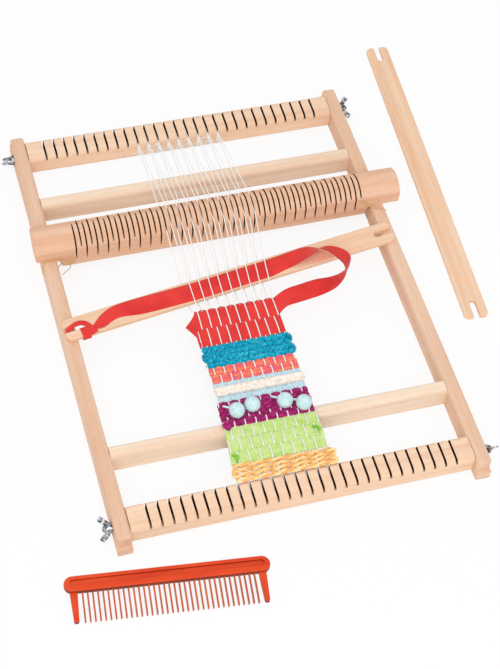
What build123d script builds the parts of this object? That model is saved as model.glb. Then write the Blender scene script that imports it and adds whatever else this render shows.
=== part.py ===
from build123d import *

import os
from math import atan2, cos, pi, radians, sin, sqrt, tan

os.makedirs("parts", exist_ok=True)

# The loom stands on z = 0 with its frame centred on the origin: X runs along the beams,
# Y away from the weaver, Z up. All lengths are in millimetres and all angles in degrees.

# Frame: two rails joined by two stretchers on dowels
frame_width = 330
frame_length = 460
rail_width = 13
rail_height = 21.5
rail_edge_radius = 2.5
rail_end_radius = 3
toe_length = 3
toe_height = 9
stretcher_width = 13
stretcher_inset = 88
stretcher_edge_radius = 5
dowel_diameter = 6
dowel_length = 24
dowel_rail_depth = 8
dowel_clearance = 0.1

# Slotted beams, turned and clamped by a bolt and a wing nut at each end
beam_width = 25
beam_inset = 21.7
beam_edge_radius = 5
beam_end_gap = 0.3
beam_slot_count = 28
beam_slot_pitch = 10
beam_slot_width = 2
beam_slot_front_depth = 4.5
beam_slot_back_depth = 13
bolt_diameter = 5
bolt_clearance = 0.1
bolt_grip = 14
bolt_tip = 2
bolt_chamfer = 0.7
washer_diameter = 10
washer_thickness = 1
washer_clearance = 0.2
stack_gap = 0.1
nut_clearance = 0.08
nut_base_diameter = 9
nut_height = 5
nut_taper = 8
wing_span = 23
wing_height = 10.4
wing_foot = 1
wing_width = 4.6
wing_slant = 45
wing_thickness = 1.8
wing_corner_radius = 0.7
wing_roll = {"front_left": 45, "front_right": 118, "back_left": 118, "back_right": 30}

# Heddle bar: a slotted round bar that rocks on the rails from one seat flat to the other
heddle_length = 352
heddle_shift = 5
heddle_share = 0.65348
heddle_radius = 18.4
heddle_depth = 32.5
heddle_seat_drop = 2.8
heddle_keel = 12
heddle_keel_radius = 2
heddle_end_chamfer = 1
heddle_rock = 45
shoulder_gap = 1.2
shoulder_slant = 5
heddle_slot_count = 56
heddle_slot_pitch = 5
heddle_slot_shift = 4
heddle_slot_width = 1.4
short_slot_height = 9.4
long_slot_height = 6.5

# Warp: one thread in each of eighteen neighbouring heddle slots
warp_count = 18
warp_diameter = 0.8
warp_clearance = 0.1
warp_bend_radius = 0.8
warp_pair_spread = 1
warp_first_heddle_slot = 17
warp_first_back_slot = 9
warp_first_front_slot = 8
warp_back_drop = 4
warp_tuck_depth = 10
warp_tuck_drop = 6.5

# Weaving: bands of weft, listed from the fell towards the weaver
cloth_rise = 2
cloth_gap = 0.5
fell_left = -46.5
fell_pitch = 4.4
cloth_end_left = -53
cloth_end_pitch = 4.9
band_corner_share = 0.45
yarn_thickness = 3.4
ribbon_row_depth = 20
ribbon_row_count = 2
ribbon_weave_thickness = 1.6
ribbon_left = -50.6
ribbon_right = 30
fold_reach = 7
fold_top = 5
fold_middle = 16
fold_bottom = 30
turquoise_depth = 23
turquoise_row_count = 2
turquoise_left = -50.6
turquoise_right = 31.4
coral_depth = 16.5
coral_row_count = 2
coral_left = -47.7
coral_right = 28.5
braid_depth = 21.5
braid_row_count = 3
braid_left = -48.7
braid_right = 30.4
purple_depth = 24.5
purple_row_count = 3
purple_left = -53.6
purple_right = 29.4
felt_depth = 38
felt_row_count = 3
felt_thickness = 2.4
felt_left = -55.5
felt_right = 30.4
rope_depth = 14.5
rope_row_count = 4
rope_left = -57.5
rope_right = 34
pompom_diameter = 14
pompom_sink = 1.5
pompom_places = [(-37.5, 13.6), (-22.8, 10.6), (5.9, 13), (21.4, 18.8)]

# Stick shuttles: one on the loom, carrying the red ribbon, and one spare beside it
shuttle_inset = 1.5
shuttle_width = 23
shuttle_thickness = 5
shuttle_end_radius = 5
shuttle_edge_radius = 1
notch_width = 6
notch_depth = 19
shuttle_shift = -1
shuttle_reach = 27.8
shuttle_angle = 8.3
spare_length = 356
spare_thickness = 4.5
spare_offset = 59
spare_shift = 112
spare_angle = 86.95

# Ribbon: tied to one prong of the shuttle, laid along it and looped back to the weaving
ribbon_width = 19
ribbon_thickness = 0.7
ribbon_gap = 0.1
ribbon_leave_x = 34
knot_wrap_width = 4
knot_wrap_thickness = 0.9
knot_length = 8
knot_width = 9
knot_height = 5
knot_corner_radius = 2.25
knot_crown_radius = 1.65
loop_lift = 1.5

# Cords that hold the heddle bar to the rails
tie_diameter = 1
tie_clearance = 0.1
tie_bend_radius = 1
tie_groove_width = 2
tie_groove_depth = 1.8

# Comb for beating the weft
comb_length = 170.5
comb_spine_height = 14.2
comb_spine_thickness = 5
comb_edge_radius = 1.2
comb_recess_inset = 4.6
comb_recess_height = 5.4
comb_recess_shift = 0.7
comb_recess_depth = 1.3
comb_tooth_count = 35
comb_tooth_spread = 141.5
comb_tooth_width = 1.3
comb_tooth_length = 27
comb_tooth_thickness = 3
comb_tooth_radius = 0.5
comb_guard_width = 7
comb_guard_tip = 4.2
comb_guard_tip_radius = 1.8
comb_guard_inset = 7.5
comb_shift = -129.6
comb_offset = 27.2
comb_angle = -6.7

# Places that follow from the sizes above
inner_width = frame_width - 2 * rail_width
rail_x = (frame_width - rail_width) / 2
beam_length = inner_width - 2 * beam_end_gap
beam_y = frame_length / 2 - beam_inset
beam_axis_z = rail_height / 2
stretcher_y = frame_length / 2 - stretcher_inset
heddle_axis_z = rail_height + heddle_seat_drop
cloth_z = rail_height + cloth_rise
rope_far_y = cloth_gap + rope_depth - beam_y + beam_width / 2
felt_far_y = rope_far_y + felt_depth
purple_far_y = felt_far_y + purple_depth
braid_far_y = purple_far_y + braid_depth
coral_far_y = braid_far_y + coral_depth
turquoise_far_y = coral_far_y + turquoise_depth
fell_y = turquoise_far_y + ribbon_row_count * ribbon_row_depth
heddle_y = fell_y + heddle_share * (stretcher_y - fell_y)
heddle_front_y = heddle_y - heddle_depth / 2
heddle_back_y = heddle_y + heddle_depth / 2
heddle_kink_rise = sqrt(heddle_radius**2 - (heddle_depth / 2) ** 2)
heddle_bottom_z = rail_height - heddle_keel
heddle_pivot_y = heddle_y + heddle_seat_drop * tan(radians(heddle_rock / 2))
short_slot_z = heddle_axis_z + short_slot_height
tie_offset = tie_diameter / 2 + tie_clearance
tie_y = heddle_front_y - tie_offset
shuttle_length = frame_width - 2 * shuttle_inset
shuttle_top_z = rail_height + shuttle_thickness
shuttle_centre = (shuttle_shift, fell_y + shuttle_reach)
spare_centre = (frame_width / 2 + spare_offset, spare_shift)
comb_centre = (comb_shift, -frame_length / 2 - comb_offset)


def save(piece, name):
    piece.part.label = name
    export_step(piece.part, f"parts/{name}.step")


def make_rail(side):
    x = side * rail_x
    inner_face = Plane.YZ.offset(side * inner_width / 2)
    with BuildPart() as rail:
        with BuildSketch(Plane.XY.offset(toe_height)) as upper:
            with Locations((x, 0)):
                Rectangle(rail_width, frame_length - 2 * toe_length)
            fillet(upper.vertices(), rail_end_radius)
        extrude(amount=rail_height - toe_height)
        fillet(rail.faces().sort_by(Axis.Z)[-1].edges(), rail_edge_radius)
        with BuildSketch():
            with Locations((x, 0)):
                Rectangle(rail_width, frame_length)
        extrude(amount=toe_height)
        with BuildSketch(Plane.YZ.offset(x)):
            with Locations((-beam_y, beam_axis_z), (beam_y, beam_axis_z)):
                Circle(bolt_diameter / 2 + bolt_clearance)
        extrude(amount=rail_width, both=True, mode=Mode.SUBTRACT)
        with BuildSketch(inner_face):
            with Locations((-stretcher_y, rail_height / 2), (stretcher_y, rail_height / 2)):
                Circle(dowel_diameter / 2 + dowel_clearance)
        extrude(amount=side * (dowel_rail_depth + dowel_clearance), mode=Mode.SUBTRACT)
        with Locations((x, tie_y, 0)):
            Box(2 * rail_width, tie_groove_width, 2 * tie_groove_depth, mode=Mode.SUBTRACT)
    return rail


def make_stretcher(y):
    end = inner_width / 2
    hole_depth = dowel_length - dowel_rail_depth + dowel_clearance
    with BuildPart() as stretcher:
        with BuildSketch(Plane.YZ.offset(-end)) as section:
            with Locations((y, rail_height / 2)):
                Rectangle(stretcher_width, rail_height)
            fillet(section.vertices().group_by(Axis.Y)[-1], stretcher_edge_radius)
        extrude(amount=inner_width)
        for side in (-1, 1):
            with BuildSketch(Plane.YZ.offset(side * end)):
                with Locations((y, rail_height / 2)):
                    Circle(dowel_diameter / 2 + dowel_clearance)
            extrude(amount=-side * hole_depth, mode=Mode.SUBTRACT)
    return stretcher


def make_beam(y):
    slot_tilt = atan2(beam_slot_back_depth - beam_slot_front_depth, beam_width)
    slot_mid_z = rail_height - (beam_slot_front_depth + beam_slot_back_depth) / 2
    slot_floor = Plane(
        origin=(0, y, slot_mid_z), x_dir=(1, 0, 0), z_dir=(0, sin(slot_tilt), cos(slot_tilt))
    )
    with BuildPart() as beam:
        with BuildSketch(Plane.YZ.offset(-beam_length / 2)):
            with Locations((y, beam_axis_z)):
                RectangleRounded(beam_width, rail_height, beam_edge_radius)
        extrude(amount=beam_length)
        with BuildSketch(slot_floor):
            with GridLocations(beam_slot_pitch, beam_slot_pitch, beam_slot_count, 1):
                Rectangle(beam_slot_width, 2 * beam_width)
        extrude(amount=rail_height, mode=Mode.SUBTRACT)
        for side in (-1, 1):
            with BuildSketch(Plane.YZ.offset(side * beam_length / 2)):
                with Locations((y, beam_axis_z)):
                    Circle(bolt_diameter / 2 + bolt_clearance)
            extrude(amount=-side * (bolt_grip + bolt_clearance), mode=Mode.SUBTRACT)
    return beam


# Rails, stretchers and the dowels between them
left_rail = make_rail(-1)
right_rail = make_rail(1)
save(left_rail, "left_rail")
save(right_rail, "right_rail")

front_stretcher = make_stretcher(-stretcher_y)
back_stretcher = make_stretcher(stretcher_y)
save(front_stretcher, "front_stretcher")
save(back_stretcher, "back_stretcher")

with BuildPart() as stretcher_dowels:
    for side in (-1, 1):
        with BuildSketch(Plane.YZ.offset(side * (inner_width / 2 + dowel_rail_depth))):
            with Locations((-stretcher_y, rail_height / 2), (stretcher_y, rail_height / 2)):
                Circle(dowel_diameter / 2)
        extrude(amount=-side * dowel_length)
save(stretcher_dowels, "stretcher_dowels")

# Beams
front_beam = make_beam(-beam_y)
back_beam = make_beam(beam_y)
save(front_beam, "front_beam")
save(back_beam, "back_beam")


# Clamps: a bolt in each end of each beam, with a washer and a wing nut outside the rail
washer_x = frame_width / 2 + stack_gap
nut_x = washer_x + washer_thickness + stack_gap
bolt_end_x = nut_x + nut_height + bolt_tip
bolt_start_x = beam_length / 2 - bolt_grip


def make_bolt(side, y):
    with BuildPart() as bolt:
        with BuildSketch(Plane.YZ.offset(side * bolt_start_x)):
            with Locations((y, beam_axis_z)):
                Circle(bolt_diameter / 2)
        extrude(amount=side * (bolt_end_x - bolt_start_x))
        chamfer(bolt.faces().sort_by(Axis.X)[0 if side < 0 else -1].edges(), bolt_chamfer)
    return bolt


def make_washer(side, y):
    with BuildPart() as washer:
        with BuildSketch(Plane.YZ.offset(side * washer_x)):
            with Locations((y, beam_axis_z)):
                Circle(washer_diameter / 2)
                Circle(bolt_diameter / 2 + washer_clearance, mode=Mode.SUBTRACT)
        extrude(amount=side * washer_thickness)
    return washer


def make_wing_nut(side, y, roll):
    base = Plane(
        origin=(side * nut_x, y, beam_axis_z),
        x_dir=(0, cos(radians(roll)), sin(radians(roll))),
        z_dir=(side, 0, 0),
    )
    wings = Plane(origin=base.origin, x_dir=base.x_dir, z_dir=-base.y_dir)
    slant = radians(wing_slant)
    root_radius = bolt_diameter / 2 + 2 * nut_clearance
    outer_tip = (wing_span / 2, wing_height - wing_width * cos(slant))
    inner_tip = (wing_span / 2 - wing_width * sin(slant), wing_height)
    foot_radius = outer_tip[0] - (outer_tip[1] - wing_foot) / tan(slant)
    crotch_height = inner_tip[1] - (inner_tip[0] - root_radius) * tan(slant)
    with BuildPart() as nut:
        with BuildSketch(wings) as wing:
            with BuildLine():
                Polyline(
                    (root_radius, wing_foot),
                    (foot_radius, wing_foot),
                    outer_tip,
                    inner_tip,
                    (root_radius, crotch_height),
                    close=True,
                )
            make_face()
            fillet(wing.vertices().sort_by(Axis.X)[-2:], wing_corner_radius)
            mirror(about=Plane.YZ)
        extrude(amount=wing_thickness / 2, both=True)
        with BuildSketch(base):
            Circle(nut_base_diameter / 2)
        extrude(amount=nut_height, taper=nut_taper)
        with BuildSketch(base):
            Circle(bolt_diameter / 2 + nut_clearance)
        extrude(amount=wing_height, mode=Mode.SUBTRACT)
    return nut


for corner, roll in wing_roll.items():
    side = -1 if corner.endswith("left") else 1
    y = -beam_y if corner.startswith("front") else beam_y
    save(make_bolt(side, y), f"{corner}_bolt")
    save(make_washer(side, y), f"{corner}_washer")
    save(make_wing_nut(side, y, roll), f"{corner}_wing_nut")

# Heddle bar: round top, flat front and back, saw slots of two kinds, and stubs on the rails
heddle_left = heddle_shift - heddle_length / 2
heddle_right = heddle_shift + heddle_length / 2
kink_z = heddle_axis_z + heddle_kink_rise
shoulder_x = inner_width / 2 - shoulder_gap
lean = radians(heddle_rock)
long_slot_normal = Vector(0, -sin(lean), cos(lean))
short_slots_x = heddle_slot_shift + heddle_slot_pitch / 2
long_slots_x = heddle_slot_shift - heddle_slot_pitch / 2
heddle_axis_point = Vector(long_slots_x, heddle_y, heddle_axis_z)
long_slot_floor = Plane(
    origin=heddle_axis_point + long_slot_normal * long_slot_height,
    x_dir=(1, 0, 0),
    z_dir=long_slot_normal,
)

with BuildPart() as heddle_bar:
    with BuildSketch(Plane.YZ.offset(heddle_left)) as section:
        with BuildLine():
            front_kink = (heddle_front_y, kink_z)
            back_kink = (heddle_back_y, kink_z)
            ThreePointArc(front_kink, (heddle_y, heddle_axis_z + heddle_radius), back_kink)
            Polyline(
                back_kink,
                (heddle_back_y, heddle_bottom_z),
                (heddle_front_y, heddle_bottom_z),
                front_kink,
            )
        make_face()
        fillet(section.vertices().group_by(Axis.Y)[0], heddle_keel_radius)
    extrude(amount=heddle_length)
    chamfer(heddle_bar.faces().sort_by(Axis.X)[0].edges(), heddle_end_chamfer)
    chamfer(heddle_bar.faces().sort_by(Axis.X)[-1].edges(), heddle_end_chamfer)
    # each stub has a flat for rest and a second flat that meets the rail when the bar is rocked
    for start, stop in ((heddle_left, -shoulder_x), (shoulder_x, heddle_right)):
        with BuildSketch(Plane.YZ.offset(start)):
            with BuildLine():
                Polyline(
                    (heddle_front_y - heddle_depth, heddle_bottom_z - heddle_keel),
                    (heddle_front_y - heddle_depth, rail_height),
                    (heddle_pivot_y, rail_height),
                    (heddle_pivot_y + heddle_depth, rail_height + heddle_depth * tan(lean)),
                    (heddle_pivot_y + heddle_depth, heddle_bottom_z - heddle_keel),
                    close=True,
                )
            make_face()
        extrude(amount=stop - start, mode=Mode.SUBTRACT)
    # the keel narrows downwards so that it drops in between the rails
    with BuildSketch(Plane.XZ.offset(-heddle_y)):
        with BuildLine():
            Polyline(
                (shoulder_x, rail_height),
                (shoulder_x - shoulder_slant, heddle_bottom_z),
                (shoulder_x, heddle_bottom_z),
                close=True,
            )
        make_face()
        mirror(about=Plane.YZ)
    extrude(amount=heddle_depth, both=True, mode=Mode.SUBTRACT)
    with BuildSketch(Plane.XZ.offset(-heddle_y)):
        with Locations((short_slots_x, short_slot_z + heddle_radius / 2)):
            with GridLocations(2 * heddle_slot_pitch, heddle_slot_pitch, heddle_slot_count // 2, 1):
                Rectangle(heddle_slot_width, heddle_radius)
    extrude(amount=heddle_depth, both=True, mode=Mode.SUBTRACT)
    with BuildSketch(long_slot_floor):
        with GridLocations(2 * heddle_slot_pitch, heddle_slot_pitch, heddle_slot_count // 2, 1):
            Rectangle(heddle_slot_width, 2 * heddle_depth)
    extrude(amount=heddle_depth, mode=Mode.SUBTRACT)
save(heddle_bar, "heddle_bar")


def make_tube(points, diameter, radius):
    with BuildPart() as tube:
        with BuildLine():
            route = FilletPolyline(*points, radius=radius)
        with BuildSketch(Plane(origin=route @ 0, z_dir=route % 0)):
            Circle(diameter / 2)
        sweep()
    expected = pi * diameter**2 / 4 * route.length
    if abs(tube.part.volume / expected - 1) > 0.02:
        print("check the tube that starts at", points[0])
    return tube.part


# Ties: out of the bar's end slots, down its front and round each rail in a groove
def tie_points(side, slot_x, inside, mouth_z, hang_z):
    inner_x = side * (inner_width / 2 - tie_offset)
    outer_x = side * (frame_width / 2 + tie_offset)
    over_z = rail_height + tie_offset
    under_z = tie_groove_depth / 2
    return [
        (slot_x, *inside),
        (slot_x, tie_y, mouth_z),
        (inner_x, tie_y, over_z),
        (outer_x, tie_y, over_z),
        (outer_x, tie_y, under_z),
        (inner_x, tie_y, under_z),
        (inner_x - side * shoulder_slant / 2, tie_y, hang_z),
    ]


half_slots = (heddle_slot_count - 1) / 2
first_slot_x = heddle_slot_shift - half_slots * heddle_slot_pitch
last_slot_x = heddle_slot_shift + half_slots * heddle_slot_pitch
long_mouth_z = heddle_axis_z + long_slot_height / cos(lean) - heddle_depth / 2 * tan(lean)
left_inside = (heddle_y - tie_offset, long_mouth_z + heddle_depth / 2 * tan(lean) + tie_diameter)
right_inside = (heddle_y, short_slot_z + tie_offset)

with BuildPart() as left_tie:
    add(make_tube(
        tie_points(-1, first_slot_x, left_inside, long_mouth_z + tie_diameter, heddle_bottom_z),
        tie_diameter,
        tie_bend_radius,
    ))
save(left_tie, "left_tie")

with BuildPart() as right_tie:
    add(make_tube(
        tie_points(1, last_slot_x, right_inside, short_slot_z + tie_diameter, heddle_bottom_z),
        tie_diameter,
        tie_bend_radius,
    ))
save(right_tie, "right_tie")


# Warp threads, taut from the back beam through the heddle bar and the weaving to the front beam
def beam_slot_x(number):
    return (number - (beam_slot_count - 1) / 2) * beam_slot_pitch


def shuttle_y(x):
    return shuttle_centre[1] + (x - shuttle_centre[0]) * tan(radians(shuttle_angle))


def back_slot_x(k):
    return beam_slot_x(warp_first_back_slot + k // 2) + (k % 2 - 0.5) * warp_pair_spread


def front_slot_x(k):
    return beam_slot_x(warp_first_front_slot + (k + 1) // 2) - (k % 2 - 0.5) * warp_pair_spread


def heddle_slot_x(k):
    return first_slot_x + (warp_first_heddle_slot + k) * heddle_slot_pitch


warp_offset = warp_diameter / 2 + warp_clearance
half_pass = shuttle_width / 2 / cos(radians(shuttle_angle)) + warp_diameter
back_face_y = beam_y + beam_width / 2
mouth_y = beam_y - beam_width / 2
mouth_z = rail_height - beam_slot_front_depth + warp_offset
turn_z = mouth_z - warp_back_drop
turn_y = back_face_y + warp_offset
slot_fall = (mouth_z - turn_z) / (turn_y - mouth_y)
short_edge_y = sqrt(heddle_radius**2 - short_slot_height**2)
high_edge_rise = sqrt(heddle_radius**2 - long_slot_height**2)
high_edge_y = heddle_y + high_edge_rise * cos(lean) - long_slot_height * sin(lean)
high_edge_z = heddle_axis_z + high_edge_rise * sin(lean) + long_slot_height * cos(lean)


def warp_points(k):
    back_x = back_slot_x(k)
    heddle_x = heddle_slot_x(k)
    fell_x = fell_left + k * fell_pitch
    end_x = cloth_end_left + k * cloth_end_pitch
    front_x = front_slot_x(k)
    pass_y = shuttle_y((heddle_x + fell_x) / 2)
    far_pass = pass_y + half_pass
    near_pass = pass_y - half_pass
    span = heddle_front_y - fell_y
    far_x = fell_x + (heddle_x - fell_x) * (far_pass - fell_y) / span
    near_x = fell_x + (heddle_x - fell_x) * (near_pass - fell_y) / span
    start_y = back_face_y - warp_diameter
    start = (back_x, start_y, mouth_z - (start_y - mouth_y) * slot_fall)
    upper = k % 2 == 1
    points = [start]
    if upper and k < warp_count - 1:
        next_x = back_slot_x(k + 1)
        points = [(next_x, *start[1:]), (next_x, turn_y, turn_z), (back_x, turn_y, turn_z)]
    points.append((back_x, mouth_y, mouth_z))
    if upper:
        over_z = shuttle_top_z + ribbon_gap + ribbon_thickness + warp_offset
        high_z = high_edge_z + warp_offset
        fall = (high_z - over_z) / (high_edge_y - far_pass)
        points.append((heddle_x, high_edge_y, high_z))
        points.append((heddle_x, heddle_front_y, high_z - (high_edge_y - heddle_front_y) * fall))
        points.append((far_x, far_pass, over_z))
        points.append((near_x, near_pass, over_z))
    else:
        under_z = rail_height - warp_offset
        through_z = short_slot_z + warp_offset
        points.append((heddle_x, heddle_y + short_edge_y, through_z))
        points.append((heddle_x, heddle_y - short_edge_y, through_z))
        points.append((far_x, far_pass, under_z))
        points.append((near_x, near_pass, under_z))
    points.append((fell_x, fell_y, cloth_z))
    points.append((end_x, rope_far_y, cloth_z))
    points.append((front_x, -mouth_y, rail_height - warp_offset))
    points.append((front_x, -mouth_y - warp_tuck_depth, rail_height - warp_offset - warp_tuck_drop))
    return points


upper_threads = [
    make_tube(warp_points(k), warp_diameter, warp_bend_radius) for k in range(1, warp_count, 2)
]
lower_threads = [
    make_tube(warp_points(k), warp_diameter, warp_bend_radius) for k in range(0, warp_count, 2)
]

with BuildPart() as upper_warp:
    add(upper_threads)
save(upper_warp, "upper_warp")

with BuildPart() as lower_warp:
    add(lower_threads)
save(lower_warp, "lower_warp")


# Weft bands, each a run of rounded rows round the warp
def make_band(far_y, depth, rows, thickness, left, right):
    pitch = depth / rows
    with BuildPart() as band:
        with BuildSketch(Plane.YZ.offset(left)):
            for row in range(rows):
                with Locations((far_y - (row + 0.5) * pitch, cloth_z)):
                    RectangleRounded(pitch, thickness, band_corner_share * thickness)
        extrude(amount=right - left)
    return band


woven_rows = make_band(
    fell_y,
    ribbon_row_count * ribbon_row_depth,
    ribbon_row_count,
    ribbon_weave_thickness,
    ribbon_left,
    ribbon_right,
)
with BuildPart() as ribbon_fold:
    with BuildSketch(Plane.XY.offset(cloth_z - ribbon_thickness / 2)):
        with BuildLine():
            Polyline(
                (ribbon_left, fell_y - fold_top),
                (ribbon_left, fell_y - fold_bottom),
                (ribbon_left - fold_reach, fell_y - fold_middle),
                close=True,
            )
        make_face()
    extrude(amount=ribbon_thickness)
with BuildPart() as ribbon_weft:
    add(woven_rows.part)
    add(ribbon_fold.part)
save(ribbon_weft, "ribbon_weft")

turquoise_weft = make_band(
    turquoise_far_y,
    turquoise_depth,
    turquoise_row_count,
    yarn_thickness,
    turquoise_left,
    turquoise_right,
)
coral_weft = make_band(
    coral_far_y, coral_depth, coral_row_count, yarn_thickness, coral_left, coral_right
)
braid_weft = make_band(
    braid_far_y, braid_depth, braid_row_count, yarn_thickness, braid_left, braid_right
)
purple_weft = make_band(
    purple_far_y, purple_depth, purple_row_count, yarn_thickness, purple_left, purple_right
)
felt_weft = make_band(
    felt_far_y, felt_depth, felt_row_count, felt_thickness, felt_left, felt_right
)
rope_weft = make_band(
    rope_far_y, rope_depth, rope_row_count, yarn_thickness, rope_left, rope_right
)
save(turquoise_weft, "turquoise_weft")
save(coral_weft, "coral_weft")
save(braid_weft, "braid_weft")
save(purple_weft, "purple_weft")
save(felt_weft, "felt_weft")
save(rope_weft, "rope_weft")

with BuildPart() as pompoms:
    pompom_floor = cloth_z + yarn_thickness / 2
    for x, below in pompom_places:
        centre_z = pompom_floor + pompom_diameter / 2 - pompom_sink
        with Locations((x, purple_far_y - below, centre_z)):
            Sphere(pompom_diameter / 2)
    split(bisect_by=Plane.XY.offset(pompom_floor), keep=Keep.TOP)
save(pompoms, "pompoms")


# Shuttles: flat sticks with a rounded notch in each end
def make_shuttle(length, thickness, centre, angle, z):
    plane = Plane(
        origin=(*centre, z), x_dir=(cos(radians(angle)), sin(radians(angle)), 0), z_dir=(0, 0, 1)
    )
    with BuildPart() as stick:
        with BuildSketch(plane):
            RectangleRounded(length, shuttle_width, shuttle_end_radius)
            with Locations((length / 2, 0), (-length / 2, 0)):
                SlotOverall(2 * notch_depth, notch_width, mode=Mode.SUBTRACT)
        extrude(amount=thickness)
        flat_faces = stick.faces().filter_by(Axis.Z)
        fillet(flat_faces.edges(), shuttle_edge_radius)
    return stick


shuttle = make_shuttle(shuttle_length, shuttle_thickness, shuttle_centre, shuttle_angle, rail_height)
spare_shuttle = make_shuttle(spare_length, spare_thickness, spare_centre, spare_angle, 0)
save(shuttle, "shuttle")
save(spare_shuttle, "spare_shuttle")

# Ribbon knot: a turn round the near prong of the shuttle and a knot on top of it
prong_width = (shuttle_width - notch_width) / 2
wrap_width = prong_width + 2 * (ribbon_gap + knot_wrap_thickness)
wrap_height = shuttle_thickness + 2 * (ribbon_gap + knot_wrap_thickness)
notch_end_x = notch_depth - shuttle_length / 2
wrap_x = notch_end_x - notch_width / 2
prong_y = -(notch_width + prong_width) / 2
shuttle_plane = Plane(
    origin=(*shuttle_centre, rail_height),
    x_dir=(cos(radians(shuttle_angle)), sin(radians(shuttle_angle)), 0),
    z_dir=(0, 0, 1),
)
knot_x = notch_end_x + knot_length / 2
wrap_plane = Plane(
    origin=shuttle_plane.from_local_coords((wrap_x - knot_wrap_width, prong_y, shuttle_thickness / 2)),
    x_dir=shuttle_plane.y_dir,
    z_dir=shuttle_plane.x_dir,
)

with BuildPart() as knot_wrap:
    with BuildSketch(wrap_plane):
        Rectangle(wrap_width, wrap_height)
        Rectangle(prong_width + 2 * ribbon_gap, shuttle_thickness + 2 * ribbon_gap, mode=Mode.SUBTRACT)
    extrude(amount=knot_wrap_width)
with BuildPart() as knot_bead:
    with BuildSketch(shuttle_plane.offset(shuttle_thickness + ribbon_gap)):
        with Locations((knot_x, prong_y + prong_width / 2)):
            RectangleRounded(knot_length, knot_width, knot_corner_radius)
    extrude(amount=knot_height)
    fillet(knot_bead.faces().sort_by(Axis.Z)[-1].edges(), knot_crown_radius)
with BuildPart() as ribbon_knot:
    add(knot_wrap.part)
    add(knot_bead.part)
save(ribbon_knot, "ribbon_knot")


# Ribbon: cross-sections from its far edge, each leaning over by its own angle
def ribbon_section(edge, heading, turn, width):
    along = Vector(cos(radians(heading)), sin(radians(heading)), 0)
    right = Vector(sin(radians(heading)), -cos(radians(heading)), 0)
    across = right * cos(radians(turn)) + Vector(0, 0, 1) * sin(radians(turn))
    middle = Vector(*edge) + across * (width / 2)
    return Plane(origin=middle, x_dir=across, z_dir=along)


def make_ribbon(stations):
    with BuildPart() as ribbon:
        for edge, heading, turn, width in stations:
            with BuildSketch(ribbon_section(edge, heading, turn, width)):
                Rectangle(width, ribbon_thickness)
        loft(ruled=True)
    return ribbon


ribbon_z = shuttle_top_z + ribbon_gap + ribbon_thickness / 2
ribbon_start_x = knot_x + knot_length / 2 + ribbon_gap
ribbon_full_x = ribbon_start_x + ribbon_width
leave_x = (ribbon_leave_x - shuttle_centre[0]) / cos(radians(shuttle_angle))


def on_shuttle(along, across):
    x, y, z = shuttle_plane.from_local_coords((along, across, 0))
    return (x, y, ribbon_z)


ribbon_on_shuttle = make_ribbon([
    (on_shuttle(ribbon_start_x, 0), shuttle_angle, 0, knot_width / 2),
    (on_shuttle(ribbon_full_x, ribbon_width / 2), shuttle_angle, 0, ribbon_width),
    (on_shuttle(leave_x, ribbon_width / 2), shuttle_angle, 0, ribbon_width),
])
save(ribbon_on_shuttle, "ribbon_on_shuttle")

# where the loop's edge is, from the fell, with its heading and its lean
loop_stations = [
    (66, 46.8, ribbon_z, 6, 14),
    (85, 45.3, ribbon_z, -14, 50),
    (96, 37.8, ribbon_z, -46, 75),
    (102.6, 28.3, ribbon_z, -68, 90),
    (104.3, 19.8, cloth_z + loop_lift, -112, 108),
    (98, 15.8, cloth_z, -152, 140),
    (87.5, 12.3, cloth_z, -163, 165),
    (60, 7.3, cloth_z, -170, 180),
    (ribbon_right + ribbon_gap, 0, cloth_z, -165, 180),
]
ribbon_loop = make_ribbon(
    [(on_shuttle(leave_x, ribbon_width / 2), shuttle_angle, 0, ribbon_width)]
    + [((x, fell_y + y, z), heading, turn, ribbon_width) for x, y, z, heading, turn in loop_stations]
)
save(ribbon_loop, "ribbon_loop")

# Comb: a spine with a raised rim, two tapered guards and a row of thin teeth
comb_plane = Plane(
    origin=(*comb_centre, 0),
    x_dir=(cos(radians(comb_angle)), sin(radians(comb_angle)), 0),
    z_dir=(0, 0, 1),
)
tooth_pitch = comb_tooth_spread / (comb_tooth_count - 1)
tooth_end_y = -comb_spine_height / 2 - comb_tooth_length
guard_x = comb_length / 2 - comb_guard_inset

with BuildPart() as comb:
    with BuildSketch(comb_plane):
        SlotOverall(comb_length, comb_spine_height)
    extrude(amount=comb_spine_thickness)
    fillet(comb.faces().sort_by(Axis.Z)[-1].edges(), comb_edge_radius)
    with BuildSketch(comb_plane.offset(comb_spine_thickness)):
        with Locations((0, comb_recess_shift)):
            SlotOverall(comb_length - 2 * comb_recess_inset, comb_recess_height)
    extrude(amount=-comb_recess_depth, mode=Mode.SUBTRACT)
    with BuildSketch(comb_plane):
        with Locations((0, tooth_end_y / 2)):
            with GridLocations(tooth_pitch, tooth_pitch, comb_tooth_count, 1):
                RectangleRounded(comb_tooth_width, -tooth_end_y, comb_tooth_radius)
    extrude(amount=comb_tooth_thickness)
    with BuildSketch(comb_plane) as guards:
        for side in (-1, 1):
            with BuildLine():
                Polyline(
                    (side * guard_x - comb_guard_width / 2, 0),
                    (side * guard_x + comb_guard_width / 2, 0),
                    (side * guard_x + comb_guard_tip / 2, tooth_end_y),
                    (side * guard_x - comb_guard_tip / 2, tooth_end_y),
                    close=True,
                )
            make_face()
        fillet(guards.vertices().group_by(Axis.Y)[0], comb_guard_tip_radius)
    extrude(amount=comb_tooth_thickness)
save(comb, "comb")
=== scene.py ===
import random
from math import cos, exp, pi, radians, sin, tan

import bmesh
import bpy
from mathutils import Matrix, Vector, noise


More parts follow.
